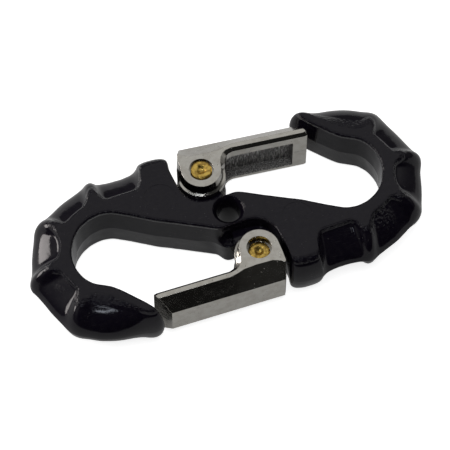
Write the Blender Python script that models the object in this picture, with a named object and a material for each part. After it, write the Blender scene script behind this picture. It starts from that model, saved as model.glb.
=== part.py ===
# Double-gate snap link for keys: one cast S-shaped frame, two cast gates on brass pins,
# each gate returned by a torsion spring. The link lies flat, long axis along X, thickness along Z.
# Origin: on the axis of the centre hole, at the underside.
import math
import bpy
import bmesh
from mathutils import Vector

mm = 0.001

# driving dimensions
gateHalf = 5.4 * mm          # half thickness of a gate, the thickest piece
frameHalf = 5.0 * mm         # half thickness of the frame
holeRadius = 2.2 * mm        # cord hole in the web
hinges = {"upper": (-2.7 * mm, 8.85 * mm), "lower": (3.2 * mm, -8.95 * mm)}
upperGateTurn = -0.8         # degrees, how far each closed gate leans out
lowerGateTurn = 4.2
earRadius = 3.55 * mm
barrelRadius = 4.4 * mm
earGapHalf = 2.4 * mm
tongueHalf = 2.1 * mm
tongueRadius = 3.5 * mm
pinRadius = 1.25 * mm
pinHeadRadius = 1.9 * mm
counterboreRadius = 2.2 * mm
headTop = {"upper": 5.35 * mm, "lower": 4.05 * mm}      # the lower pin is driven deeper
headThick = 0.6 * mm
clearance = 0.3 * mm
armInner = 2.72 * mm         # the arm's inner and outer walls, from the hinge axis
armOuter = 6.3 * mm
armFlat = (3.17 * mm, 4.02 * mm)
armEnd = 20.45 * mm
bevelDepth = 2.5 * mm
slotDepth = 1.78 * mm
wire = 0.25 * mm             # spring wire radius
coilRadius = 2.0 * mm
coilTurns = 2.0

for old in list(bpy.data.objects):
    bpy.data.objects.remove(old, do_unlink=True)


def material(name, colour, metallic, roughness):
    m = bpy.data.materials.new(name)
    m.use_nodes = True
    shader = m.node_tree.nodes["Principled BSDF"]
    shader.inputs["Base Color"].default_value = (*colour, 1)
    shader.inputs["Metallic"].default_value = metallic
    shader.inputs["Roughness"].default_value = roughness
    return m


def addObject(name, bm, mat=None):
    bmesh.ops.recalc_face_normals(bm, faces=bm.faces)
    bmesh.ops.triangulate(bm, faces=[f for f in bm.faces if len(f.verts) == 4])
    mesh = bpy.data.meshes.new(name)
    bm.to_mesh(mesh)
    bm.free()
    mesh.shade_smooth()
    mesh.set_sharp_from_angle(angle=math.radians(28))
    if mat:
        mesh.materials.append(mat)
    obj = bpy.data.objects.new(name, mesh)
    bpy.context.scene.collection.objects.link(obj)
    return obj


def skin(rings):
    """Walls between closed rings of equal length, capped top and bottom."""
    bm = bmesh.new()
    rows = [[bm.verts.new(p) for p in ring] for ring in rings]
    n = len(rows[0])
    for a, b in zip(rows, rows[1:]):
        for i in range(n):
            bm.faces.new((a[i], a[(i + 1) % n], b[(i + 1) % n], b[i]))
    bm.faces.new(rows[0])
    bm.faces.new(list(reversed(rows[-1])))
    return bm


def prism(points, z0, z1):
    return skin([[Vector((x, y, z1)) for x, y in points], [Vector((x, y, z0)) for x, y in points]])


def arc(cx, cy, r, a0, a1, steps):
    return [(cx + r * math.cos(math.radians(a0 + (a1 - a0) * i / steps)),
             cy + r * math.sin(math.radians(a0 + (a1 - a0) * i / steps))) for i in range(steps + 1)]


def cutter(obj):
    obj.hide_render = True
    obj.display_type = "WIRE"
    return obj


def boolean(obj, other, how):
    mod = obj.modifiers.new(how.title(), "BOOLEAN")
    mod.operation = how
    mod.solver = "EXACT"
    mod.object = cutter(other)


# Frame outline, one half, in mm: edge of the flat top, outline at mid-thickness, kind of side.
# w wall, c cut-out round a hinge, b block, r knuckle, p scooped panel, n nose. The other half is the
# same, turned by 180 degrees about the centre hole.
stations = [
    (3.6, 2.85, 3.7, 2.95, "w"), (2.9, 3.15, 3.0, 3.6, "w"), (2.0, 3.35, 1.9, 4.75, "c"), (0.5, 3.1, 0.6, 4.9, "c"),
    (-2.0, 2.8, -1.4, 4.15, "c"), (-4.0, 2.8, -3.4, 4.1, "c"), (-5.2, 3.2, -4.9, 4.55, "c"),
    (-6.3, 4.1, -6.05, 5.15, "c"), (-7.2, 5.6, -7.1, 6.3, "c"), (-7.6, 7.5, -7.85, 8.3, "c"),
    (-7.9, 8.9, -7.95, 9.1, "w"), (-8.2, 11.0, -7.9, 11.2, "w"), (-8.3, 11.8, -7.55, 13.6, "b"),
    (-8.9, 12.3, -8.2, 14.5, "b"), (-10.0, 12.45, -10.0, 14.85, "b"), (-12.0, 12.3, -12.3, 14.7, "b"),
    (-13.2, 11.9, -13.3, 14.5, "b"), (-13.4, 10.3, -13.45, 14.45, "b"), (-13.45, 8.5, -13.6, 14.4, "r"),
    (-14.6, 8.0, -14.6, 13.85, "p"), (-16.5, 7.8, -16.6, 13.4, "p"), (-18.7, 7.55, -18.9, 13.25, "p"),
    (-20.8, 7.3, -21.1, 13.35, "p"), (-21.7, 7.9, -21.6, 13.6, "r"), (-22.6, 7.9, -22.4, 13.8, "r"),
    (-23.5, 7.45, -23.3, 13.45, "r"), (-24.4, 6.9, -24.0, 13.0, "p"), (-25.4, 6.5, -25.4, 12.3, "p"),
    (-27.0, 5.5, -28.2, 10.95, "p"), (-28.4, 4.5, -31.0, 8.95, "p"), (-29.2, 4.5, -32.3, 8.15, "r"),
    (-29.8, 4.3, -33.3, 7.5, "r"), (-30.2, 3.9, -33.95, 6.7, "r"), (-30.4, 3.1, -34.3, 5.2, "p"),
    (-30.0, 1.6, -35.0, 3.0, "p"), (-30.2, 0.0, -35.5, 1.2, "p"), (-30.8, -1.6, -36.1, -1.7, "p"),
    (-31.3, -2.5, -36.8, -3.1, "r"), (-31.5, -3.4, -36.95, -4.0, "r"), (-31.5, -4.1, -36.85, -4.7, "r"),
    (-31.0, -4.9, -36.3, -5.5, "p"), (-30.2, -6.6, -35.4, -7.4, "p"), (-29.3, -8.2, -34.3, -10.0, "p"),
    (-29.0, -8.6, -33.2, -12.1, "p"), (-28.85, -9.2, -32.2, -14.1, "r"), (-28.5, -9.7, -31.2, -15.1, "r"),
    (-28.0, -10.15, -30.4, -15.5, "r"), (-27.2, -10.25, -29.3, -15.95, "n"), (-25.6, -10.6, -27.4, -16.85, "n"),
    (-24.0, -11.4, -25.4, -17.4, "n"), (-22.6, -12.45, -23.2, -17.65, "n"), (-21.4, -13.5, -21.2, -17.6, "n"),
    (-20.0, -14.7, -19.5, -17.65, "n"), (-18.9, -15.6, -18.2, -17.95, "n"), (-18.0, -16.1, -17.0, -17.95, "n"),
    (-17.45, -16.1, -15.9, -17.45, "n"), (-17.2, -15.75, -15.5, -16.8, "n"), (-17.3, -15.35, -16.6, -15.4, "w"),
    (-18.5, -14.05, -18.2, -13.75, "w"), (-20.0, -12.6, -19.7, -12.3, "w"), (-21.8, -10.9, -21.5, -10.6, "w"),
    (-23.3, -9.7, -23.1, -9.3, "w"), (-25.0, -8.95, -24.8, -8.55, "w"), (-26.4, -8.3, -26.1, -7.95, "w"),
    (-27.7, -6.9, -27.3, -6.7, "w"), (-28.55, -5.0, -28.15, -4.9, "w"), (-28.9, -3.0, -28.5, -3.0, "w"),
    (-28.6, -0.9, -28.2, -1.0, "w"), (-27.6, 1.5, -27.3, 1.2, "w"), (-26.2, 3.1, -25.95, 2.75, "w"),
    (-24.3, 4.3, -24.15, 3.9, "w"), (-22.2, 4.85, -22.2, 4.4, "w"), (-20.2, 4.7, -20.35, 4.3, "w"),
    (-17.5, 3.45, -17.7, 3.05, "w"), (-15.0, 2.15, -15.2, 1.75, "w"), (-13.0, 1.1, -13.15, 0.7, "w"),
    (-10.0, -0.1, -10.15, -0.5, "w"), (-6.0, -1.8, -6.15, -2.2, "w"),
]


# share of the way out and of the height, at the two rings between the flat top and mid-thickness
shoulders = {"w": ((0.2, 0.8), (0.6, 0.4)), "c": ((0.05, 0.3), (0.9, 0.06)), "b": ((0.45, 0.9), (0.85, 0.53)),
             "r": ((0.45, 0.9), (0.85, 0.53)), "p": ((0.13, 0.77), (0.75, 0.46)), "n": ((0.5, 0.83), (0.85, 0.5))}
knuckleRoll = 4.2            # mm, how wide a knuckle's shoulder turns down


def level(row, below):
    ring = []
    for sign in (1, -1):
        for tx, ty, mx, my, kind in stations:
            way, height = ((0, 1), *shoulders[kind], (1, 0))[row]
            if kind == "r" and 0 < row < 3:
                flat = max(0.0, 1 - knuckleRoll / math.hypot(mx - tx, my - ty))
                way = flat + (1 - flat) * way
            if kind == "c" and below:
                way, height = 1, (1, 0.67, 0.33, 0)[row]
            x, y = tx + (mx - tx) * way, ty + (my - ty) * way
            z = gateHalf + frameHalf * height * (-1 if below else 1)
            ring.append(Vector((sign * x * mm, sign * y * mm, z)))
    return ring


rings = [level(row, False) for row in range(4)] + [level(row, True) for row in (2, 1, 0)]

black = material("black_paint", (0.012, 0.012, 0.016), 0.0, 0.22)
chrome = material("bright_nickel", (0.62, 0.61, 0.59), 1.0, 0.16)
brass = material("brass", (0.62, 0.47, 0.16), 1.0, 0.3)
steel = material("spring_steel", (0.55, 0.55, 0.56), 1.0, 0.3)

frame = addObject("link_frame", skin(rings), black)

for sign, label in ((1, "upper"), (-1, "lower")):
    # tongue that carries the pin, running from inside the frame to a round end
    hx, hy = hinges[label]
    cx, cy = sign * hx / mm, sign * hy / mm
    tongue = [(-8.6, 7.0), (-6.6, 8.6)] + arc(cx, cy, tongueRadius / mm, 150, 30, 8)
    tongue += arc(cx, cy, tongueRadius / mm, 20, -45, 5) + [(0.2, 4.6), (0.2, 2.0), (-4.0, 1.0), (-8.6, 4.0)]
    points = [(sign * x * mm, sign * y * mm) for x, y in tongue]
    piece = addObject(label + "_tongue_add", prism(points, gateHalf - tongueHalf, gateHalf + tongueHalf))
    boolean(frame, piece, "UNION")
    # seat of the spring's coil, open towards the gate, and the pin's hole
    seat = [(x * sign, y * sign) for x, y in arc(0, 0, (coilRadius + wire) / mm + 0.4, 80, 330, 14)]
    seat += [(sign * 5.0, sign * -2.6), (sign * 5.0, sign * 5.0), (sign * 0.4, sign * 5.0)]
    points = [(x * mm + hx, y * mm + hy) for x, y in seat]
    boolean(frame, addObject(label + "_seat_cut", prism(points, gateHalf + 0.2 * mm, gateHalf + 2.3 * mm)),
            "DIFFERENCE")
    points = arc(hx, hy, pinRadius + clearance, 0, 345, 23)
    boolean(frame, addObject(label + "_pin_cut", prism(points, 0, 12 * mm)), "DIFFERENCE")
hole = addObject("hole_cutter", prism(arc(0, 0, holeRadius, 0, 352.5, 47), -mm, 12 * mm))
boolean(frame, hole, "DIFFERENCE")


# Gate, in its own axes: hinge axis at the origin, arm along +X, loop side towards -Y
def gateMesh(name):
    """Rings at the flat top, under the chamfer and under the bevel, then the same below."""
    vi, vo, end = armInner / mm, armOuter / mm, armEnd / mm
    fi, fo = armFlat[0] / mm, armFlat[1] / mm
    left = [((-3.3, 4.2), (-2.75, vo)), ((-3.6, 3.9), (-3.1, vo - 0.6)), ((-3.62, 2.0), (-4.0, 2.4))]
    barrel = list(zip(arc(0, 0, earRadius / mm, 180, 360, 20), arc(0, 0, barrelRadius / mm, 180, 360, 20)))
    inner = [((3.66, 0.9), (4.42, 0.6)), ((3.95, 1.8), (4.62, 1.3)), ((4.5, 2.5), (5.0, 1.95)),
             ((5.2, 2.95), (5.6, 2.4)), ((6.2, fi), (6.4, vi)), ((end - 1.0, fi), (end - 0.75, vi)),
             ((end - 0.6, fi + 0.12), (end - 0.25, vi + 0.12)), ((end - 0.45, fi + 0.4), (end - 0.1, vi + 0.55))]
    outer = [((end - 0.8, fo), (end - 2.4, vo)), ((6.6, fo), (6.6, vo)), ((5.3, 3.75), (5.3, vo)),
             ((3.9, 3.3), (3.9, vo)), ((1.6, 3.12), (1.6, vo)), ((-1.4, 3.2), (-1.2, vo)),
             ((-2.7, 3.7), (-2.3, vo))]
    rings = []
    for z, chamfer, bevel in ((gateHalf / mm, 0, 0), (gateHalf / mm - 0.45, 1, 0.18),
                              ((gateHalf - bevelDepth) / mm, 1, 1)):
        ring = []
        for part, share in ((left, bevel), (barrel, bevel), (inner, chamfer), (outer, bevel)):
            ring += [Vector(top).lerp(Vector(wall), share) for top, wall in part]
        rings.append([Vector((p.x * mm, p.y * mm, z * mm)) for p in ring])
    return addObject(name, skin(rings + [[Vector((p.x, p.y, -p.z)) for p in ring] for ring in reversed(rings)]),
                     chrome)


def gateTools(name):
    """The ear gap, slot, bore and counterbores, as one set of cutters in the gate's own axes."""
    gap = [(-6.0, -6.0), (6.0, -6.0), (6.0, 2.2), (4.4, 3.2), (2.2, 4.4), (-2.2, 4.6), (-6.0, 4.6)]
    tools = [addObject(name + "_gap", prism([(x * mm, y * mm) for x, y in gap], -earGapHalf, earGapHalf))]
    depth = armInner + slotDepth
    bm = bmesh.new()
    outline = ((4.6, 3.7), (17.4, 3.0), (17.4, -3.0), (4.6, -3.7))
    near = [bm.verts.new((x * mm, 0.5 * mm, z * mm)) for x, z in outline]
    far = [bm.verts.new((x * mm, depth, z * mm)) for x, z in outline]
    for i in range(4):
        bm.faces.new((near[i], near[(i + 1) % 4], far[(i + 1) % 4], far[i]))
    bm.faces.new(list(reversed(near)))
    bm.faces.new(far)
    tools.append(addObject(name + "_slot", bm))
    bore = arc(0, 0, pinRadius + clearance, 0, 345, 23)
    tools.append(addObject(name + "_bore", prism(bore, -8 * mm, 8 * mm)))
    seat = arc(0, 0, counterboreRadius, 0, 348.75, 31)
    seatFloor = headTop[name] - headThick - 0.05 * mm
    tools.append(addObject(name + "_top_seat", prism(seat, seatFloor, 8 * mm)))
    tools.append(addObject(name + "_base_seat", prism(seat, -8 * mm, 0.65 * mm - headTop["upper"])))
    return tools


def pinMesh(name, top):
    """Headed rivet: shank, a head sunk in each counterbore, a shallow dimple in each end."""
    heads = []
    for face, up in ((top, 1), (-headTop["upper"], -1)):
        rows = ((0.0, 0.4), (0.5, 0.3), (0.8, 0.05), (1.6, 0.03), (pinHeadRadius / mm, 0.3),
                (pinHeadRadius / mm, headThick / mm), (pinRadius / mm, headThick / mm))
        heads.append([(r * mm, face - up * z * mm) for r, z in rows])
    profile = heads[0] + heads[1][::-1]
    bm = bmesh.new()
    verts = [bm.verts.new((r, 0, z)) for r, z in profile]
    edges = [bm.edges.new(pair) for pair in zip(verts, verts[1:])]
    bmesh.ops.spin(bm, geom=verts + edges, axis=(0, 0, 1), cent=(0, 0, 0), steps=32, angle=2 * math.pi)
    bmesh.ops.remove_doubles(bm, verts=bm.verts, dist=1e-6)
    return addObject(name, bm, brass)


def springCurve(name):
    """Torsion spring: two turns about the pin, one leg down the gate's slot, one on the tongue."""
    points = []
    steps = int(14 * coilTurns)
    z0 = 0.55 * mm
    pitch = 0.62 * mm
    for i in range(steps + 1):
        a = math.radians(-40 + 360 * coilTurns * i / steps)
        points.append((coilRadius * math.cos(a), coilRadius * math.sin(a), z0 + pitch * coilTurns * i / steps))
    a = math.radians(-40)
    first = (coilRadius * math.cos(a) - 0.55 * mm, coilRadius * math.sin(a) - 0.45 * mm, z0)
    last = points[-1]
    points = [first] + points
    points += [(last[0] + 1.1 * mm, last[1] + 1.3 * mm, last[2]), (4.2 * mm, 2.6 * mm, last[2]),
               (6.0 * mm, armInner + 1.05 * mm, last[2]), (12.5 * mm, armInner + 1.3 * mm, last[2])]
    curve = bpy.data.curves.new(name, "CURVE")
    curve.dimensions = "3D"
    curve.bevel_depth = wire
    curve.bevel_resolution = 2
    curve.use_fill_caps = True
    spline = curve.splines.new("POLY")
    spline.points.add(len(points) - 1)
    for slot, p in zip(spline.points, points):
        slot.co = (*p, 1)
    curve.materials.append(steel)
    obj = bpy.data.objects.new(name, curve)
    bpy.context.scene.collection.objects.link(obj)
    return obj


# Each hinge: an empty on its axis carries the gate, its pin and its spring
for label, sign, lean in (("upper", 1, upperGateTurn), ("lower", -1, lowerGateTurn)):
    turn = math.radians(lean) + (0 if sign == 1 else math.pi)
    hinge = bpy.data.objects.new(label + "_hinge", None)
    hinge.location = (*hinges[label], gateHalf)
    hinge.rotation_euler = (0, 0, turn)
    bpy.context.scene.collection.objects.link(hinge)
    gate = gateMesh(label + "_gate")
    gate.parent = hinge
    for tool in gateTools(label):
        tool.parent = hinge
        boolean(gate, tool, "DIFFERENCE")
    pin = pinMesh(label + "_pin", headTop[label])
    pin.parent = hinge
    spring = springCurve(label + "_spring")
    spring.parent = hinge
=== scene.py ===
import math
import bpy
from mathutils import Matrix, Vector, noise


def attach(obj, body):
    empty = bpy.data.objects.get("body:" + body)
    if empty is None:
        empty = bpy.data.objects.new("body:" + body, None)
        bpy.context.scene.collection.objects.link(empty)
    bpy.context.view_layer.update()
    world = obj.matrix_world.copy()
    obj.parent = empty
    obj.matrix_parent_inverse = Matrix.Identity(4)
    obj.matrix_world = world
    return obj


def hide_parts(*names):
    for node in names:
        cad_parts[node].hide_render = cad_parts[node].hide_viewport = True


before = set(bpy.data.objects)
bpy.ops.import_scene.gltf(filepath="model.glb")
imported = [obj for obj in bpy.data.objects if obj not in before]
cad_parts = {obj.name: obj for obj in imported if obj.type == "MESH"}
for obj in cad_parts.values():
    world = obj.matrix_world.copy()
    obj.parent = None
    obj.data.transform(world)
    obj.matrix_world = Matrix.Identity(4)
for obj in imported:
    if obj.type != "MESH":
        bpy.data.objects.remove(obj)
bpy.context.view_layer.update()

# Lengths below are in mm, heights from the middle plane of the link, until toMetres puts a piece in place.
midHeight = 5.4

camera = {
    "target": (0.0, 0.0, 5.4),      # on the axis of the centre hole
    "turn": 14.5,                   # degrees, the link lies turned on the table
    "elevation": 60.5,
    "distance": 427.0,
    "lens": 192.0,
    "offset": (0.62, 0.34),         # the hole stands a little off the middle of the view
}


def addCamera():
    a, e = math.radians(camera["turn"]), math.radians(camera["elevation"])
    forward = Vector((math.sin(a) * math.cos(e), math.cos(a) * math.cos(e), -math.sin(e)))
    right = Vector((math.cos(a), -math.sin(a), 0))
    up = right.cross(forward)
    place = Vector(camera["target"]) - forward * camera["distance"]
    place -= right * camera["offset"][0] + up * camera["offset"][1]
    bpy.ops.object.camera_add(location=place * 0.001)
    cam = bpy.context.object
    cam.rotation_euler = forward.to_track_quat("-Z", "Y").to_euler()
    cam.data.lens = camera["lens"]
    cam.data.sensor_width = 36
    cam.data.clip_start = 0.01
    bpy.context.scene.camera = cam
    print("camera set")


def selectOnly(obj):
    if bpy.context.object and bpy.context.object.mode != "OBJECT":
        bpy.ops.object.mode_set(mode="OBJECT")
    bpy.ops.object.select_all(action="DESELECT")
    if obj:
        obj.select_set(True)
        bpy.context.view_layer.objects.active = obj


def editAll(obj):
    selectOnly(obj)
    bpy.ops.object.mode_set(mode="EDIT")
    bpy.ops.mesh.select_all(action="SELECT")


# A closed skin over equal rings of points, flat at both ends.
def skinRings(name, rings):
    selectOnly(None)
    columns = len(rings[0])
    bpy.ops.mesh.primitive_grid_add(x_subdivisions=columns, y_subdivisions=len(rings) - 1, size=1)
    obj = bpy.context.object
    obj.name = obj.data.name = name
    places = [p for ring in rings for p in list(ring) + [ring[0]]]
    for vert, place in zip(obj.data.vertices, places):
        vert.co = place
    assert len(places) == len(obj.data.vertices)
    editAll(obj)
    bpy.ops.mesh.remove_doubles(threshold=0.00001)
    for ring in (rings[0], rings[-1]):
        bpy.ops.mesh.select_all(action="DESELECT")
        bpy.ops.mesh.select_non_manifold()
        bpy.ops.object.mode_set(mode="OBJECT")
        level = ring[0][2]
        for vert in obj.data.vertices:
            vert.select = vert.select and abs(vert.co.z - level) < 0.00001
        for edge in obj.data.edges:
            a, b = edge.vertices
            edge.select = edge.select and obj.data.vertices[a].select and obj.data.vertices[b].select
        bpy.ops.object.mode_set(mode="EDIT")
        bpy.ops.mesh.edge_face_add()
    bpy.ops.mesh.select_all(action="SELECT")
    bpy.ops.mesh.normals_make_consistent(inside=False)
    bpy.ops.object.mode_set(mode="OBJECT")
    return obj


def plate(name, outline, low, high):
    selectOnly(None)
    bpy.ops.mesh.primitive_circle_add(vertices=len(outline), radius=1, fill_type="NGON")
    obj = bpy.context.object
    obj.name = obj.data.name = name
    for vert, (x, y) in zip(obj.data.vertices, outline):
        vert.co = (x, y, low)
    editAll(obj)
    bpy.ops.mesh.extrude_region_move(TRANSFORM_OT_translate={"value": (0, 0, high - low)})
    bpy.ops.mesh.select_all(action="SELECT")
    bpy.ops.mesh.normals_make_consistent(inside=False)
    bpy.ops.object.mode_set(mode="OBJECT")
    return obj


def modify(obj, kind, **settings):
    mod = obj.modifiers.new(kind.title(), kind)
    for key, value in settings.items():
        setattr(mod, key, value)
    selectOnly(obj)
    bpy.ops.object.modifier_apply(modifier=mod.name)


def combine(obj, tool, how="DIFFERENCE"):
    modify(obj, "BOOLEAN", operation=how, solver="EXACT", material_mode="TRANSFER", object=tool)
    bpy.data.objects.remove(tool, do_unlink=True)


def toMetres(obj, place=Matrix.Identity(4)):
    obj.data.transform(Matrix.Scale(0.001, 4) @ Matrix.Translation((0, 0, midHeight)) @ place)


def arc(cx, cy, r, a0, a1, steps):
    angles = [math.radians(a0 + (a1 - a0) * i / steps) for i in range(steps + 1)]
    return [(cx + r * math.cos(a), cy + r * math.sin(a)) for a in angles]


link = {
    "half": 5.0,
    "spacing": 0.33,        # between columns of the skin
    "soften": 0.5,          # rounding of the outline's corners
    "roll": 5.2,            # how wide a knuckle's shoulder turns down
    "upperHinge": (-2.7, 8.85),
    "lowerHinge": (3.2, -8.95),
    "holeRadius": 2.2,
    "wave": 0.022,          # unevenness of the cast and painted skin
    "tongueRadius": 3.5,    # the tongue between a gate's ears
    "tongueHalf": 2.1,
    "springSeat": (2.95, 0.2, 2.3),     # radius, floor and top of the room for the spring
    "pinHole": 1.55,
    "ejectorMarks": ((-11.2, 5.0, 3.0), (11.4, -4.2, 2.7)),     # x, y and radius
    "markDepth": 0.045,
}

# One half of the outline: edge of the flat top, outline at the middle plane, and the kind of side there:
# w wall, c cut-out round a hinge, b block, r knuckle, p scooped panel, n nose.
stations = [
    (3.6, 2.85, 3.7, 2.95, "w"), (2.9, 3.15, 3.0, 3.6, "w"), (2.0, 3.35, 1.9, 4.75, "c"),
    (0.5, 3.1, 0.6, 4.9, "c"),
    (-2.0, 2.8, -1.4, 4.15, "c"), (-4.0, 2.8, -3.4, 4.1, "c"), (-5.2, 3.2, -4.9, 4.55, "c"),
    (-6.3, 4.1, -6.05, 5.15, "c"), (-7.2, 5.6, -7.1, 6.3, "c"), (-7.6, 7.5, -7.85, 8.3, "c"),
    (-7.9, 8.9, -7.95, 9.1, "w"), (-8.2, 11.0, -7.9, 11.2, "w"), (-8.3, 11.8, -7.55, 13.6, "b"),
    (-8.9, 12.3, -8.2, 14.5, "b"), (-10.0, 12.45, -10.0, 14.85, "b"), (-12.0, 12.3, -12.3, 14.7, "b"),
    (-13.2, 11.9, -13.3, 14.5, "b"), (-13.4, 10.3, -13.45, 14.45, "b"), (-13.45, 8.5, -13.6, 14.4, "r"),
    (-14.6, 8.0, -14.6, 13.85, "p"), (-16.5, 7.8, -16.6, 13.4, "p"), (-18.7, 7.55, -18.9, 13.25, "p"),
    (-20.8, 7.3, -21.1, 13.35, "p"), (-21.7, 7.9, -21.6, 13.6, "r"), (-22.6, 7.9, -22.4, 13.8, "r"),
    (-23.5, 7.45, -23.3, 13.45, "r"), (-24.4, 6.9, -24.0, 13.0, "p"), (-25.4, 6.5, -25.4, 12.3, "p"),
    (-27.0, 5.5, -28.2, 10.95, "p"), (-28.4, 4.5, -31.0, 8.95, "p"), (-29.2, 4.5, -32.3, 8.15, "r"),
    (-29.8, 4.3, -33.3, 7.5, "r"), (-30.2, 3.9, -33.95, 6.7, "r"), (-30.4, 3.1, -34.3, 5.2, "p"),
    (-30.0, 1.6, -35.0, 3.0, "p"), (-30.2, 0.0, -35.5, 1.2, "p"), (-30.8, -1.6, -36.1, -1.7, "p"),
    (-31.3, -2.5, -36.8, -3.1, "r"), (-31.5, -3.4, -36.95, -4.0, "r"), (-31.5, -4.1, -36.85, -4.7, "r"),
    (-31.0, -4.9, -36.3, -5.5, "p"), (-30.2, -6.6, -35.4, -7.4, "p"), (-29.3, -8.2, -34.3, -10.0, "p"),
    (-29.0, -8.6, -33.2, -12.1, "p"), (-28.85, -9.2, -32.2, -14.1, "r"), (-28.5, -9.7, -31.2, -15.1, "r"),
    (-28.0, -10.15, -30.4, -15.5, "r"), (-27.2, -10.25, -29.3, -15.95, "n"), (-25.6, -10.6, -27.4, -16.85, "n"),
    (-24.0, -11.4, -25.4, -17.4, "n"), (-22.6, -12.45, -23.2, -17.65, "n"), (-21.4, -13.5, -21.2, -17.6, "n"),
    (-20.0, -14.7, -19.5, -17.65, "n"), (-18.9, -15.6, -18.2, -17.95, "n"), (-18.0, -16.1, -17.0, -17.95, "n"),
    (-17.45, -16.1, -15.9, -17.45, "n"), (-17.2, -15.75, -15.5, -16.8, "n"), (-17.3, -15.35, -16.6, -15.4, "w"),
    (-18.5, -14.05, -18.2, -13.75, "w"), (-20.0, -12.6, -19.7, -12.3, "w"), (-21.8, -10.9, -21.5, -10.6, "w"),
    (-23.3, -9.7, -23.1, -9.3, "w"), (-25.0, -8.95, -24.8, -8.55, "w"), (-26.4, -8.3, -26.1, -7.95, "w"),
    (-27.7, -6.9, -27.3, -6.7, "w"), (-28.55, -5.0, -28.15, -4.9, "w"), (-28.9, -3.0, -28.5, -3.0, "w"),
    (-28.6, -0.9, -28.2, -1.0, "w"), (-27.6, 1.5, -27.3, 1.2, "w"), (-26.2, 3.1, -25.95, 2.75, "w"),
    (-24.3, 4.3, -24.15, 3.9, "w"), (-22.2, 4.85, -22.2, 4.4, "w"), (-20.2, 4.7, -20.35, 4.3, "w"),
    (-17.5, 3.45, -17.7, 3.05, "w"), (-15.0, 2.15, -15.2, 1.75, "w"), (-13.0, 1.1, -13.15, 0.7, "w"),
    (-10.0, -0.1, -10.15, -0.5, "w"), (-6.0, -1.8, -6.15, -2.2, "w"),
]


def superEllipse(n, power):
    angles = [math.radians(90 * i / n) for i in range(1, n + 1)]
    return [(math.sin(a) ** (2 / power), max(math.cos(a), 0) ** (2 / power)) for a in angles]


# Each kind of side from the flat top down to the middle plane. A point is given by how far it stands out from
# the edge in mm, its share of the way to the outline, and its height.
def sideProfiles(width):
    top = link["half"]
    wall = [(-0.5, 0, top), (-0.42, 0, top - 0.01), (-0.12, 0, top - 0.16)]
    wall += [(-0.03, 0, top - 0.26), (0, 0, top - 0.42)]
    wall += [(0, k / 9, (top - 0.3) * (1 - k / 9)) for k in range(1, 10)]
    cutOut = wall[:5] + [(0, 0.0, 3.0), (0, 0.02, 1.5), (0, 0.05, 0.8), (0, 0.12, 0.42), (0, 0.25, 0.25),
                         (0, 0.5, 0.2), (0, 0.85, 0.2), (0, 0.97, 0.12), (0, 1, 0)]
    block = [(-0.5, 0, top), (-0.1, 0, top), (0, 0, top - 0.02), (0.0, 0.06, top - 0.09)]
    block += [(0, 0.06 + 0.94 * b, (top - 0.09) * z) for b, z in superEllipse(10, 1.9)]
    flat = max(0.0, 1 - link["roll"] / max(width, 0.1))
    knuckle = [(-0.5, 0, top), (0, 0, top), (0, flat * 0.5, top), (0, flat, top)]
    knuckle += [(0, flat + (1 - flat) * b, top * z) for b, z in superEllipse(10, 1.8)]
    panel = [(-0.5, 0, top), (-0.22, 0, top), (-0.06, 0, top - 0.07), (0.06, 0, top - 0.26)]
    panel += [(0.08, 0.03, top - 0.6), (0.08, 0.07, top - 0.88), (0.05, 0.13, top - 1.08), (0, 0.2, top - 1.2)]
    for k in range(1, 7):
        left = 1 - k / 6
        panel.append((0, 1 - 0.8 * left ** 1.5, (top - 1.2) * left ** 0.87))
    nose = [(-0.2, 0, top), (-0.1, 0, top), (0, 0, top - 0.03)]
    first = math.radians(24)
    for k in range(1, 12):
        a = first + (math.pi / 2 - first) * k / 11
        nose.append((0, (math.sin(a) - math.sin(first)) / (1 - math.sin(first)),
                     (top - 0.03) * max(math.cos(a), 0) / math.cos(first)))
    return {"w": wall, "c": cutOut, "b": block, "r": knuckle, "p": panel, "n": nose}


# The whole outline at even spacing, with its corners softened. The second half is the first one turned round.
def evenColumns():
    kinds = "wcbrpn"
    rows = []
    for tx, ty, mx, my, kind in stations:
        rows.append([tx, ty, mx, my] + [1.0 if k == kind else 0.0 for k in kinds])
    first = [-v for v in rows[0][:4]] + rows[0][4:]
    dense = []
    for a, b in zip(rows, rows[1:] + [first]):
        length = 0.5 * (math.hypot(b[0] - a[0], b[1] - a[1]) + math.hypot(b[2] - a[2], b[3] - a[3]))
        steps = max(1, round(length / link["spacing"]))
        for i in range(steps):
            dense.append([p + (q - p) * i / steps for p, q in zip(a, b)])
    turned = [[-v for v in row[:4]] + row[4:] for row in dense]
    ring = dense + turned
    reach = 5
    apart = link["spacing"] / link["soften"]
    weights = [math.exp(-0.5 * (k * apart) ** 2) for k in range(-reach, reach + 1)]
    total = sum(weights)
    soft = []
    for i in range(len(ring)):
        near = [ring[(i + k) % len(ring)] for k in range(-reach, reach + 1)]
        soft.append([sum(w * row[j] for w, row in zip(weights, near)) / total for j in range(len(rows[0]))])
    return soft, kinds


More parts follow.
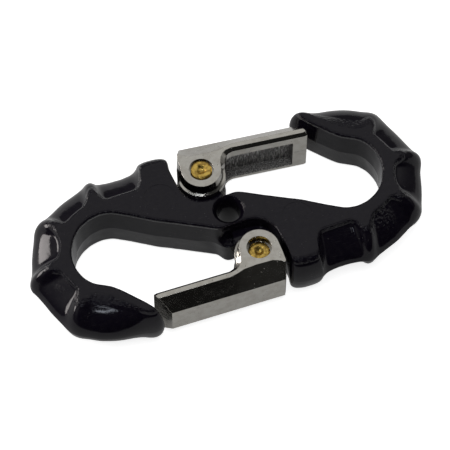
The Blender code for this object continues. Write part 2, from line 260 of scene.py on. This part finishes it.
def frameRings():
    columns, kinds = evenColumns()
    n = len(columns)
    upper, lower = [], []
    for i, col in enumerate(columns):
        before, after = columns[i - 1], columns[(i + 1) % n]
        tangent = Vector((after[0] - before[0], after[1] - before[1])).normalized()
        out = Vector((tangent.y, -tangent.x))       # the outline runs with the metal on its left
        edge, mid = Vector(col[:2]), Vector(col[2:4])
        shapes = sideProfiles((mid - edge).length)
        high, low = [], []
        shares = [(k, share) for k, share in zip(kinds, col[4:]) if share > 0.001]
        total = sum(share for k, share in shares)
        for r in range(14):
            p, q = Vector((0, 0, 0)), Vector((0, 0, 0))
            for k, share in shares:
                share /= total
                a, b, z = shapes[k][r]
                here = edge + out * a + (mid - edge) * b
                p += share * Vector((*here, z))
                if k == "c":
                    a, b, z = shapes["w"][r]
                    here = mid + out * a
                q += share * Vector((*here, -z))
            high.append(p)
            low.append(q)
        upper.append(high)
        lower.append(low)
    rings = [[upper[i][r] for i in range(n)] for r in range(14)]
    rings += [[lower[i][r] for i in range(n)] for r in range(12, -1, -1)]
    return rings


def makeFrame(paint):
    rings = frameRings()
    body = skinRings("frameBody", rings)
    print("frame skin", len(body.data.vertices))
    for vert in body.data.vertices:
        if abs(vert.co.z) < 4.9:
            shift = noise.noise(vert.co * 0.55) + 0.5 * noise.noise(vert.co * 1.3)
            vert.co += vert.normal * shift * link["wave"]
    for sign, (hx, hy) in ((1, link["upperHinge"]), (-1, link["lowerHinge"])):
        cx, cy = hx * sign, hy * sign
        tongue = [(-8.6, 7.0), (-6.6, 8.6)] + arc(cx, cy, link["tongueRadius"], 150, -45, 22)
        tongue += [(0.2, 4.6), (0.2, 2.0), (-4.0, 1.0), (-8.6, 4.0)]
        tongue = [(x * sign, y * sign) for x, y in tongue]
        combine(body, plate("tongue", tongue, -link["tongueHalf"], link["tongueHalf"]), "UNION")
        radius, floor, top = link["springSeat"]
        turned = 180 if sign < 0 else 0
        seat = arc(hx, hy, radius, 80 + turned, 320 + turned, 22)
        seat += [(hx + sign * x, hy + sign * y) for x, y in ((5.0, -3.4), (5.0, 5.0), (0.4, 5.0))]
        combine(body, plate("springSeat", seat, floor, top))
        combine(body, plate("pinHole", arc(hx, hy, link["pinHole"], 0, 350, 35), -7, 7))
    r = link["holeRadius"]
    steps = ((r + 1.9, 6), (r + 0.75, 5), (r + 0.05, 4.3), (r, 4.1))        # countersunk from both sides
    steps += tuple((radius, -z) for radius, z in reversed(steps))
    drill = skinRings("drill", [[(x, y, z) for x, y in arc(0, 0, radius, 0, 354, 59)] for radius, z in steps])
    combine(body, drill)
    face = link["half"] - link["markDepth"]
    for x, y, radius in link["ejectorMarks"]:
        for low, high in ((face, 6), (-6, -face)):
            combine(body, plate("ejectorMark", arc(x, y, radius, 0, 355, 71), low, high))
    body.data.materials.clear()
    body.data.materials.append(paint)
    selectOnly(body)
    bpy.ops.object.shade_smooth_by_angle(angle=math.radians(32))
    for edge in body.data.edges:                    # the die's parting line
        if all(abs(body.data.vertices[v].co.z) < 0.1 for v in edge.vertices):
            edge.use_edge_sharp = True
    toMetres(body)
    print("frame made")
    return body


gate = {
    "half": 5.4,
    "inner": 2.66,          # arm's inner wall, from the hinge axis
    "flatIn": 3.17,
    "flatOut": 4.02,
    "outer": 6.3,
    "end": 20.45,
    "edge": 0.27,           # rounding of the polished edges
    "boreRadius": 1.55,
    "seatRadius": 2.2,
    "gapHalf": 2.4,         # half of the room between the ears
    "slotFloor": 4.5,
    "slotLow": -4.1,
    "slotHigh": 3.2,
    "lowerSeat": 0.85,      # depth of the pin's seat on the underside
    "seamHalf": 0.05,       # casting seam at the tip
    "seamDepth": 0.07,
    "upper": {"turn": -0.8, "seatDepth": 0.85},
    "lower": {"turn": 4.2, "seatDepth": 1.95},
}

# height, radius of the barrel, how far down the chamfer and the bevel are
gateLevels = ((5.4, 3.55, 0.0), (4.85, 3.62, 0.22), (4.2, 3.74, 0.48), (3.52, 3.84, 0.75), (3.42, 3.94, 0.79),
              (3.27, 4.33, 0.85), (3.12, 4.4, 0.91), (2.9, 4.4, 1.0))


# Pairs of points round the gate, hinge axis at 0, 0 and arm along x: on the flat top, and on the wall below it.
def gateOutline():
    vi, fi, fo, vo, end = gate["inner"], gate["flatIn"], gate["flatOut"], gate["outer"], gate["end"]
    bevelSide = [((end - 0.8, fo), (end - 2.4, vo)), ((10.0, fo), (10.0, vo)), ((6.6, fo), (6.6, vo)),
                 ((5.3, 3.75), (5.3, vo)), ((3.9, 3.3), (3.9, vo)), ((1.6, 3.12), (1.6, vo)),
                 ((-1.4, 3.2), (-1.2, vo)), ((-2.7, 3.7), (-2.3, vo)), ((-3.3, 4.2), (-2.75, vo))]
    left = [((-3.6, 3.9), (-3.1, vo - 0.6)), ((-3.62, 2.0), (-4.0, 2.4))]
    barrel = [(None, a) for a in range(180, 361, 9)]
    innerSide = [((3.66, 0.9), (4.42, 0.6)), ((3.95, 1.8), (4.62, 1.3)), ((4.5, 2.5), (5.0, 1.95)),
                 ((5.2, 2.95), (5.6, 2.4)), ((6.2, fi), (6.4, vi)), ((11.0, fi), (11.0, vi)),
                 ((end - 1.0, fi), (end - 0.75, vi)), ((end - 0.6, fi + 0.12), (end - 0.25, vi + 0.12)),
                 ((end - 0.45, fi + 0.4), (end - 0.1, vi + 0.55)),
                 ((end - 0.65, fo - 0.1), (end - 0.75, vi + 1.3))]
    return bevelSide, left, barrel, innerSide


def gateRings():
    bevelSide, left, barrel, innerSide = gateOutline()
    rings = []
    for z, radius, share in gateLevels:
        ring = []
        for top, wall in left:
            ring.append(Vector(top).lerp(Vector(wall), share))
        for _, angle in barrel:
            a = math.radians(angle)
            ring.append(Vector((radius * math.cos(a), radius * math.sin(a))))
        chamfer = min(1.0, (gate["half"] - z) / 0.55)
        for top, wall in innerSide[:-1]:
            ring.append(Vector(top).lerp(Vector(wall), chamfer))
        ring.append(Vector(innerSide[-1][0]).lerp(Vector(innerSide[-1][1]), 0.3 * chamfer + 0.7 * share))
        for top, wall in bevelSide:
            ring.append(Vector(top).lerp(Vector(wall), share))
        rings.append([(p.x, p.y, z) for p in ring])
    return rings + [[(x, y, -z) for x, y, z in ring] for ring in reversed(rings)]


def makeGate(name, settings, hinge, turn, polished, rough):
    body = skinRings(name, gateRings())
    body.data.materials.append(polished)
    gap = [(-7.0, -7.0), (7.0, -7.0), (7.0, 2.0), (5.2, 2.6), (4.4, 3.3), (2.2, 4.5), (-2.2, 4.6), (-7.0, 4.6)]
    tool = plate("earGap", gap, -gate["gapHalf"], gate["gapHalf"])
    tool.data.materials.append(rough)
    combine(body, tool)
    floor = gate["slotFloor"]
    slot = [(4.5, 0.2), (17.7, 0.2), (17.5, floor), (4.7, floor)]
    tool = plate("slotTool", slot, gate["slotLow"], gate["slotHigh"])
    tool.data.materials.append(rough)
    combine(body, tool)
    bottom = gate["inner"] + gate["seamDepth"]
    seam = [(17.9, 0.2), (22.0, 0.2), (22.0, bottom), (17.9, bottom)]
    seam = plate("seamTool", seam, -gate["seamHalf"], gate["seamHalf"])
    seam.data.materials.append(rough)
    seatRadius = gate["seatRadius"]
    upperStep = gate["half"] - settings["seatDepth"]
    lowerStep = -gate["half"] + gate["lowerSeat"]
    bores = ((-8, 8, gate["boreRadius"]), (upperStep, 8, seatRadius), (-8, lowerStep, seatRadius))
    for low, high, radius in bores:
        tool = plate("boreTool", arc(0, 0, radius, 0, 352.5, 47), low, high)
        tool.data.materials.append(polished)
        combine(body, tool)
    modify(body, "BEVEL", width=gate["edge"], segments=3, limit_method="ANGLE", angle_limit=math.radians(33),
           use_clamp_overlap=True, harden_normals=False)
    editAll(body)                                   # slivers are merged before the seam is cut
    bpy.ops.mesh.remove_doubles(threshold=0.004)
    bpy.ops.mesh.dissolve_degenerate(threshold=0.004)
    selectOnly(body)
    combine(body, seam)
    editAll(body)
    bpy.ops.mesh.remove_doubles(threshold=0.002)
    selectOnly(body)
    selectOnly(body)
    bpy.ops.object.shade_smooth_by_angle(angle=math.radians(40))
    modify(body, "WEIGHTED_NORMAL", keep_sharp=True, weight=80)
    place = Matrix.Translation((*hinge, 0)) @ Matrix.Rotation(math.radians(turn), 4, "Z")
    toMetres(body, place)
    print(name, "made")
    return body


pin = {
    "shank": 1.25,
    "head": 1.95,
    "headThick": 0.6,
    "upperFace": 5.35,      # the upper gate's pin stands almost flush, the lower one's sits deeper
    "lowerFace": 4.05,
    "backFace": -5.35,
    "segments": 48,
    "stakes": (100, 215, 340),      # degrees round the head, where a punch has spread it
    "stakeAt": 0.62,
    "stakeDepth": 0.22,
}


def makePin(name, hinge, top, metal, staked):
    low = pin["backFace"]
    s, h = pin["shank"], pin["head"]
    dish = [(0.12, -0.42), (0.4, -0.36), (0.62, -0.2), (0.8, -0.05), (1.0, 0.0), (1.5, -0.02)]
    dish += [(h - 0.22, -0.07), (h - 0.07, -0.16), (h, -0.3)]
    under = top - pin["headThick"]
    profile = [(r, top + z) for r, z in dish] + [(h, under + 0.05), (h - 0.1, under), (s, under)]
    profile += [(s, low + 0.6), (h - 0.1, low + 0.6), (h, low + 0.55), (h, low + 0.3)]
    profile += [(r, low - z) for r, z in reversed(dish[:-1])]
    n = pin["segments"]
    rings = [[(r * math.cos(2 * math.pi * i / n), r * math.sin(2 * math.pi * i / n), z) for i in range(n)]
             for r, z in profile]
    body = skinRings(name, rings)
    for vert in body.data.vertices:
        x, y, z = vert.co
        if z > top - 0.5 and math.hypot(x, y) < 1.7:
            vert.co.z += 0.05 * noise.noise(Vector((x * 1.5, y * 1.5, 3.0 if staked else 9.0)))
            if staked:
                for angle in pin["stakes"]:
                    a = math.radians(angle)
                    away = math.hypot(x - pin["stakeAt"] * math.cos(a), y - pin["stakeAt"] * math.sin(a))
                    vert.co.z -= pin["stakeDepth"] * math.exp(-(away / 0.22) ** 2)
    body.data.materials.append(metal)
    selectOnly(body)
    bpy.ops.object.shade_smooth_by_angle(angle=math.radians(45))
    toMetres(body, Matrix.Translation((*hinge, 0)))
    print(name, "made")
    return body


spring = {
    "wire": 0.25,           # radius
    "coil": 2.0,
    "turns": 2.0,
    "pitch": 0.62,
    "start": 0.55,          # height of the first turn
    "firstAngle": -40,
}


def makeSpring(name, hinge, turn, steel):
    points = []
    steps = int(28 * spring["turns"])
    for i in range(steps + 1):
        a = math.radians(spring["firstAngle"] + 360 * spring["turns"] * i / steps)
        height = spring["start"] + spring["pitch"] * spring["turns"] * i / steps
        points.append((spring["coil"] * math.cos(a), spring["coil"] * math.sin(a), height))
    a = math.radians(spring["firstAngle"])
    first = (spring["coil"] * math.cos(a) - 0.55, spring["coil"] * math.sin(a) - 0.45, spring["start"])
    last = points[-1]
    points = [first] + points + [(last[0] + 1.1, last[1] + 1.3, last[2]), (4.2, 2.7, last[2]),
                                 (6.0, gate["inner"] + 1.0, last[2]), (12.5, gate["inner"] + 1.25, last[2])]
    selectOnly(None)
    bpy.ops.curve.primitive_nurbs_path_add()
    obj = bpy.context.object
    obj.name = obj.data.name = name
    obj.data.splines.clear()
    spline = obj.data.splines.new("POLY")
    spline.points.add(len(points) - 1)
    for slot, p in zip(spline.points, points):
        slot.co = (*p, 1)
    obj.data.bevel_depth = spring["wire"]
    obj.data.bevel_resolution = 3
    obj.data.use_fill_caps = True
    selectOnly(obj)
    bpy.ops.object.convert(target="MESH")
    obj = bpy.context.object
    obj.data.materials.clear()
    obj.data.materials.append(steel)
    place = Matrix.Translation((*hinge, 0)) @ Matrix.Rotation(math.radians(turn), 4, "Z")
    toMetres(obj, place)
    editAll(obj)
    bpy.ops.mesh.remove_doubles(threshold=0.000001)
    bpy.ops.mesh.normals_make_consistent(inside=False)
    selectOnly(obj)
    bpy.ops.object.shade_smooth_by_angle(angle=math.radians(50))
    print(name, "made")
    return obj


def addNode(tree, kind, **settings):
    node = tree.nodes.new(kind)
    for key, value in settings.items():
        if key.startswith("in_"):
            node.inputs[int(key[3:])].default_value = value
        else:
            setattr(node, key, value)
    return node


def newGroup(name, inputs, outputs):
    tree = bpy.data.node_groups.new(name, "ShaderNodeTree")
    for label, kind, value in inputs:
        socket = tree.interface.new_socket(name=label, in_out="INPUT", socket_type=kind)
        if value is not None:
            socket.default_value = value
    for label, kind in outputs:
        tree.interface.new_socket(name=label, in_out="OUTPUT", socket_type=kind)
    return tree, tree.nodes.new("NodeGroupInput"), tree.nodes.new("NodeGroupOutput")


def noiseNode(tree, where, scale, detail=3.0, rough=0.5):
    node = addNode(tree, "ShaderNodeTexNoise")
    node.inputs["Detail"].default_value = detail
    node.inputs["Roughness"].default_value = rough
    if isinstance(scale, float):
        node.inputs["Scale"].default_value = scale
    else:
        tree.links.new(scale, node.inputs["Scale"])
    tree.links.new(where, node.inputs["Vector"])
    return node.outputs["Fac"]


def rangeNode(tree, value, low, high, outLow=0.0, outHigh=1.0, smooth=True):
    node = addNode(tree, "ShaderNodeMapRange")
    node.interpolation_type = "SMOOTHSTEP" if smooth else "LINEAR"
    for socket, number in (("From Min", low), ("From Max", high), ("To Min", outLow), ("To Max", outHigh)):
        node.inputs[socket].default_value = number
    tree.links.new(value, node.inputs["Value"])
    return node.outputs["Result"]


def mathNode(tree, operation, a, b):
    node = addNode(tree, "ShaderNodeMath", operation=operation)
    for socket, value in zip(node.inputs, (a, b)):
        if isinstance(value, (int, float)):
            socket.default_value = value
        else:
            tree.links.new(value, socket)
    return node.outputs[0]


def mixColour(tree, share, a, b):
    node = addNode(tree, "ShaderNodeMix", data_type="RGBA")
    tree.links.new(share, node.inputs[0])
    for socket, value in ((node.inputs[6], a), (node.inputs[7], b)):
        if isinstance(value, tuple):
            socket.default_value = (*value, 1)
        else:
            tree.links.new(value, socket)
    return node.outputs[2]


def castReliefGroup():
    inputs = [("Where", "NodeSocketVector", None), ("Scale", "NodeSocketFloat", 1.0)]
    outputs = [("Height", "NodeSocketFloat"), ("Patches", "NodeSocketFloat")]
    tree, first, last = newGroup("castRelief", inputs, outputs)
    where, scale = first.outputs["Where"], first.outputs["Scale"]
    broad = noiseNode(tree, where, scale, 2.0)
    fine = noiseNode(tree, where, mathNode(tree, "MULTIPLY", scale, 4.3), 3.0, 0.6)
    height = mathNode(tree, "ADD", broad, mathNode(tree, "MULTIPLY", fine, 0.3))
    tree.links.new(height, last.inputs["Height"])
    tree.links.new(rangeNode(tree, broad, 0.35, 0.7), last.inputs["Patches"])
    return tree


def pitsGroup():
    inputs = [("Where", "NodeSocketVector", None), ("Scale", "NodeSocketFloat", 1.0)]
    tree, first, last = newGroup("pitsAndDust", inputs, [("Mask", "NodeSocketFloat")])
    cells = addNode(tree, "ShaderNodeTexVoronoi")
    tree.links.new(first.outputs["Where"], cells.inputs["Vector"])
    tree.links.new(first.outputs["Scale"], cells.inputs["Scale"])
    spot = rangeNode(tree, cells.outputs["Distance"], 0.06, 0.16, 1.0, 0.0)
    sparse = rangeNode(tree, noiseNode(tree, first.outputs["Where"], 0.35, 1.0), 0.5, 0.62)
    tree.links.new(mathNode(tree, "MULTIPLY", spot, sparse), last.inputs["Mask"])
    return tree


def scratchGroup():
    inputs = [("Where", "NodeSocketVector", None)]
    tree, first, last = newGroup("hairScratches", inputs, [("Mask", "NodeSocketFloat")])
    masks = []
    ways = (((0, 0, 0.4), (0.25, 3.2, 1.2)),
            ((0.5, 0.3, 1.9), (0.22, 3.6, 1.5)),
            ((0.2, 0.9, 2.7), (0.3, 2.8, 1.1)))
    for turn, stretch in ways:
        turned = addNode(tree, "ShaderNodeMapping", in_2=turn, in_3=stretch)
        tree.links.new(first.outputs["Where"], turned.inputs[0])
        masks.append(rangeNode(tree, noiseNode(tree, turned.outputs[0], 1.6, 2.0), 0.66, 0.74))
    both = mathNode(tree, "MAXIMUM", mathNode(tree, "MAXIMUM", masks[0], masks[1]), masks[2])
    tree.links.new(both, last.inputs["Mask"])
    return tree


def startMaterial(name, metallic, **constants):
    mat = bpy.data.materials.new(name)
    mat.use_nodes = True
    tree = mat.node_tree
    shader = tree.nodes["Principled BSDF"]
    shader.inputs["Metallic"].default_value = metallic
    for label, value in constants.items():
        shader.inputs[label].default_value = value
    coords = addNode(tree, "ShaderNodeTexCoord")
    scaled = addNode(tree, "ShaderNodeMapping", in_3=(1000, 1000, 1000))     # so that patterns are set in mm
    tree.links.new(coords.outputs["Object"], scaled.inputs[0])
    return mat, tree, shader, scaled.outputs[0]


def useGroup(tree, group, where, scale=None):
    node = addNode(tree, "ShaderNodeGroup", node_tree=group)
    tree.links.new(where, node.inputs["Where"])
    if scale is not None:
        node.inputs["Scale"].default_value = scale
    return node.outputs


# Each layer is a height from 0 to 1 and its depth in mm.
def addBump(tree, shader, layers):
    normal = None
    for height, distance in layers:
        bump = addNode(tree, "ShaderNodeBump")
        bump.inputs["Strength"].default_value = 1.0
        bump.inputs["Distance"].default_value = distance * 0.001
        tree.links.new(height, bump.inputs["Height"])
        if normal is not None:
            tree.links.new(normal, bump.inputs["Normal"])
        normal = bump.outputs["Normal"]
    tree.links.new(normal, shader.inputs["Normal"])


def nearPoint(tree, where, centre, inner, outer):
    far = addNode(tree, "ShaderNodeVectorMath", operation="DISTANCE", in_1=centre)
    tree.links.new(where, far.inputs[0])
    return rangeNode(tree, far.outputs["Value"], inner, outer, 1.0, 0.0)


paintLook = {
    "colour": (0.0036, 0.0027, 0.0060),
    "worn": (0.0055, 0.0045, 0.0075),
    "dust": (0.06, 0.06, 0.06),
    "rough": (0.07, 0.14),
    "peel": 0.012,              # mm, height of the paint's ripple
    "crinkle": 0.32,            # mm, where the paint has wrinkled on the right hook
    "crinkleAt": (25.9, -7.6, 8.6),
    "speckle": 0.09,
    "speckleAt": (-31.2, -6.6, 8.8),
    "raggedRim": 0.25,          # mm, beads of paint along the top edges
}


def paintMaterial(relief, pits, scratches):
    look = paintLook
    mat, tree, shader, where = startMaterial("blackPaint", 0.0, IOR=1.34)
    cast = useGroup(tree, relief, where, 1.15)
    dust = useGroup(tree, pits, where, 1.3)["Mask"]
    hair = useGroup(tree, scratches, where)["Mask"]
    base = mixColour(tree, cast["Patches"], look["colour"], look["worn"])
    faint = mathNode(tree, "MULTIPLY", hair, 0.08)
    base = mixColour(tree, faint, base, look["dust"])
    base = mixColour(tree, mathNode(tree, "MULTIPLY", dust, 0.5), base, look["dust"])
    tree.links.new(base, shader.inputs["Base Color"])
    gloss = rangeNode(tree, noiseNode(tree, where, 0.5, 4.0), 0.3, 0.7, *look["rough"])
    gloss = mathNode(tree, "ADD", gloss, mathNode(tree, "MULTIPLY", dust, 0.2))
    tree.links.new(gloss, shader.inputs["Roughness"])
    wrinkles = addNode(tree, "ShaderNodeTexVoronoi", feature="SMOOTH_F1")
    wrinkles.inputs["Scale"].default_value = 1.9
    tree.links.new(where, wrinkles.inputs["Vector"])
    wrinkled = nearPoint(tree, where, look["crinkleAt"], 1.3, 3.0)
    folds = mathNode(tree, "MULTIPLY", wrinkles.outputs["Distance"], wrinkled)
    grain = noiseNode(tree, where, 3.4, 2.0)
    specks = mathNode(tree, "MULTIPLY", grain, nearPoint(tree, where, look["speckleAt"], 0.8, 2.8))
    parts = addNode(tree, "ShaderNodeSeparateXYZ")
    tree.links.new(where, parts.inputs[0])
    rim = mathNode(tree, "MULTIPLY", rangeNode(tree, parts.outputs["Z"], 9.6, 10.1),
                   rangeNode(tree, parts.outputs["Z"], 10.3, 10.39, 1.0, 0.0))
    ragged = mathNode(tree, "MULTIPLY", noiseNode(tree, where, 1.8, 3.0), rim)
    addBump(tree, shader, [(cast["Height"], look["peel"]), (folds, look["crinkle"]), (specks, look["speckle"]),
                           (ragged, look["raggedRim"]), (dust, 0.02)])
    return mat


nickelLook = {
    "colour": (0.515, 0.50, 0.46),
    "stain": (0.45, 0.43, 0.39),
    "grime": (0.10, 0.09, 0.08),
    "rough": (0.11, 0.24),
    "wave": 0.010,
    "pit": 0.03,
    "scratch": 0.0008,
}


def nickelMaterial(relief, pits, scratches):
    look = nickelLook
    mat, tree, shader, where = startMaterial("polishedNickel", 1.0)
    cast = useGroup(tree, relief, where, 0.8)
    holes = useGroup(tree, pits, where, 1.7)["Mask"]
    hair = useGroup(tree, scratches, where)["Mask"]
    base = mixColour(tree, cast["Patches"], look["colour"], look["stain"])
    base = mixColour(tree, mathNode(tree, "MULTIPLY", holes, 0.8), base, look["grime"])
    tree.links.new(base, shader.inputs["Base Color"])
    gloss = rangeNode(tree, noiseNode(tree, where, 0.7, 4.0), 0.3, 0.7, *look["rough"])
    gloss = mathNode(tree, "ADD", gloss, mathNode(tree, "MULTIPLY", hair, 0.06))
    tree.links.new(gloss, shader.inputs["Roughness"])
    sunk = mathNode(tree, "MULTIPLY", holes, -1.0)
    cut = mathNode(tree, "MULTIPLY", hair, -1.0)
    addBump(tree, shader, [(cast["Height"], look["wave"]), (sunk, look["pit"]), (cut, look["scratch"])])
    return mat


castLook = {
    "dark": (0.16, 0.155, 0.15),
    "light": (0.75, 0.735, 0.72),
    "streak": 0.06,
    "grain": 0.05,
}


def castingMaterial(relief):
    mat, tree, shader, where = startMaterial("roughCasting", 0.55)
    stretched = addNode(tree, "ShaderNodeMapping", in_3=(2.6, 2.6, 0.55))
    tree.links.new(where, stretched.inputs[0])
    streaks = noiseNode(tree, stretched.outputs[0], 1.5, 4.0, 0.65)
    cast = useGroup(tree, relief, where, 2.2)
    base = mixColour(tree, rangeNode(tree, streaks, 0.42, 0.72), castLook["dark"], castLook["light"])
    tree.links.new(base, shader.inputs["Base Color"])
    tree.links.new(rangeNode(tree, cast["Height"], 0.4, 0.9, 0.25, 0.5), shader.inputs["Roughness"])
    addBump(tree, shader, [(streaks, castLook["streak"]), (cast["Height"], castLook["grain"])])
    return mat


brassLook = {
    "colour": (0.72, 0.50, 0.12),
    "tarnish": (0.38, 0.24, 0.06),
    "rough": (0.2, 0.4),
    "grain": 0.03,
    "scratch": 0.006,
}


def brassMaterial(relief, scratches):
    mat, tree, shader, where = startMaterial("stakedBrass", 1.0)
    cast = useGroup(tree, relief, where, 1.9)
    hair = useGroup(tree, scratches, where)["Mask"]
    base = mixColour(tree, cast["Patches"], brassLook["colour"], brassLook["tarnish"])
    tree.links.new(base, shader.inputs["Base Color"])
    gloss = rangeNode(tree, cast["Height"], 0.4, 0.9, *brassLook["rough"])
    tree.links.new(gloss, shader.inputs["Roughness"])
    cut = mathNode(tree, "MULTIPLY", hair, -1.0)
    addBump(tree, shader, [(cast["Height"], brassLook["grain"]), (cut, brassLook["scratch"])])
    return mat


wireLook = {"colour": (0.5, 0.5, 0.5), "draw": (0.32, 0.32, 0.33), "rough": (0.22, 0.38)}


def wireMaterial(relief, scratches):
    mat, tree, shader, where = startMaterial("springSteel", 1.0)
    cast = useGroup(tree, relief, where, 2.5)
    hair = useGroup(tree, scratches, where)["Mask"]
    tree.links.new(mixColour(tree, hair, wireLook["colour"], wireLook["draw"]), shader.inputs["Base Color"])
    tree.links.new(rangeNode(tree, cast["Height"], 0.4, 0.9, *wireLook["rough"]), shader.inputs["Roughness"])
    addBump(tree, shader, [(cast["Height"], 0.008)])
    return mat


addCamera()

relief, pits, scratches = castReliefGroup(), pitsGroup(), scratchGroup()
paint = paintMaterial(relief, pits, scratches)
nickel = nickelMaterial(relief, pits, scratches)
roughNickel = castingMaterial(relief)
brass = brassMaterial(relief, scratches)
steel = wireMaterial(relief, scratches)
print("finishes made")

body = makeFrame(paint)
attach(body, "frame")
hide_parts("link_frame")
for side, sign, hinge in (("upper", 1, link["upperHinge"]), ("lower", -1, link["lowerHinge"])):
    turn = gate[side]["turn"] + (0 if sign > 0 else 180)
    arm = makeGate(side + "Gate", gate[side], hinge, turn, nickel, roughNickel)
    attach(arm, side + "_gate")
    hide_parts(side + "_gate")
    rivet = makePin(side + "Pin", hinge, pin[side + "Face"], brass, side == "upper")
    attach(rivet, "frame")
    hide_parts(side + "_pin")
    coil = makeSpring(side + "Spring", hinge, turn, steel)
    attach(coil, side + "_gate")
    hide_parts(side + "_spring")


studio = {
    "tableColour": (0.58, 0.58, 0.58),
    "tableGlow": 0.85,              # seen straight on, the table is washed out to white
    "mirrorGlow": 0.12,             # and a little brighter where polished faces mirror it
    "bright": 0.66,                 # the room's light
    "dark": 0.03,                   # towards the camera's side the room is dark
    "darkWay": (0.1, -0.75, 0.65),
    "darkEdge": (0.38, 0.66),
    "lowLight": 0.15,               # share of the room's light left at the horizon
    # name, way from the link, distance, size, watts, colour and whether polished faces mirror it
    "boxes": (("overhead", (-0.05, -0.2, 1.0), 0.7, (0.5, 0.36), 2.0, (1, 1, 1), False),
              ("lamp", (-0.26, -0.36, 0.89), 0.7, (0.045, 0.045), 0.08, (0.84, 0.9, 1), True),
              ("strip", (-0.14, -0.14, 0.98), 0.7, (0.5, 0.02), 0.22, (0.9, 0.94, 1), True),
              ("leftBack", (-0.86, 0.46, 0.22), 0.7, (0.4, 0.25), 2.8, (1, 0.94, 0.92), True)),
}


def setTable():
    selectOnly(None)
    bpy.ops.mesh.primitive_plane_add(size=4, location=(0, 0, 0))
    table = bpy.context.object
    table.name = "tableTop"
    mat = bpy.data.materials.new("whiteTable")
    mat.use_nodes = True
    shader = mat.node_tree.nodes["Principled BSDF"]
    shader.inputs["Base Color"].default_value = (*studio["tableColour"], 1)
    shader.inputs["Roughness"].default_value = 0.8
    shader.inputs["Specular IOR Level"].default_value = 0.2
    shader.inputs["Emission Color"].default_value = (1, 1, 1, 1)
    rays = addNode(mat.node_tree, "ShaderNodeLightPath")
    glow = mathNode(mat.node_tree, "MULTIPLY", rays.outputs["Is Camera Ray"], studio["tableGlow"])
    mirrored = mathNode(mat.node_tree, "MULTIPLY", rays.outputs["Is Glossy Ray"], studio["mirrorGlow"])
    glow = mathNode(mat.node_tree, "ADD", glow, mirrored)
    mat.node_tree.links.new(glow, shader.inputs["Emission Strength"])
    table.data.materials.append(mat)


def setLight():
    for name, way, distance, size, power, colour, mirrored in studio["boxes"]:
        place = Vector(way).normalized() * distance
        bpy.ops.object.light_add(type="AREA", location=place + Vector((0, 0, 0.005)))
        light = bpy.context.object
        light.name = name
        light.rotation_euler = (-place).to_track_quat("-Z", "Y").to_euler()
        light.data.shape = "RECTANGLE"
        light.data.size, light.data.size_y = size
        light.data.energy = power
        light.data.color = colour
        light.visible_glossy = mirrored
    world = bpy.data.worlds.new("studio")
    bpy.context.scene.world = world
    world.use_nodes = True
    tree = world.node_tree
    background = tree.nodes["Background"]
    background.inputs["Color"].default_value = (1, 0.995, 0.985, 1)
    coords = addNode(tree, "ShaderNodeTexCoord")
    way = Vector(studio["darkWay"]).normalized()
    dot = addNode(tree, "ShaderNodeVectorMath", operation="DOT_PRODUCT", in_1=way)
    tree.links.new(coords.outputs["Generated"], dot.inputs[0])
    strength = rangeNode(tree, dot.outputs["Value"], *studio["darkEdge"], studio["bright"], studio["dark"])
    axes = addNode(tree, "ShaderNodeSeparateXYZ")
    tree.links.new(coords.outputs["Generated"], axes.inputs[0])
    height = rangeNode(tree, axes.outputs["Z"], 0.15, 0.8, studio["lowLight"], 1.0)
    tree.links.new(mathNode(tree, "MULTIPLY", strength, height), background.inputs["Strength"])
    print("table and light set")


setTable()
setLight()

bpy.context.scene.view_settings.view_transform = "Standard"
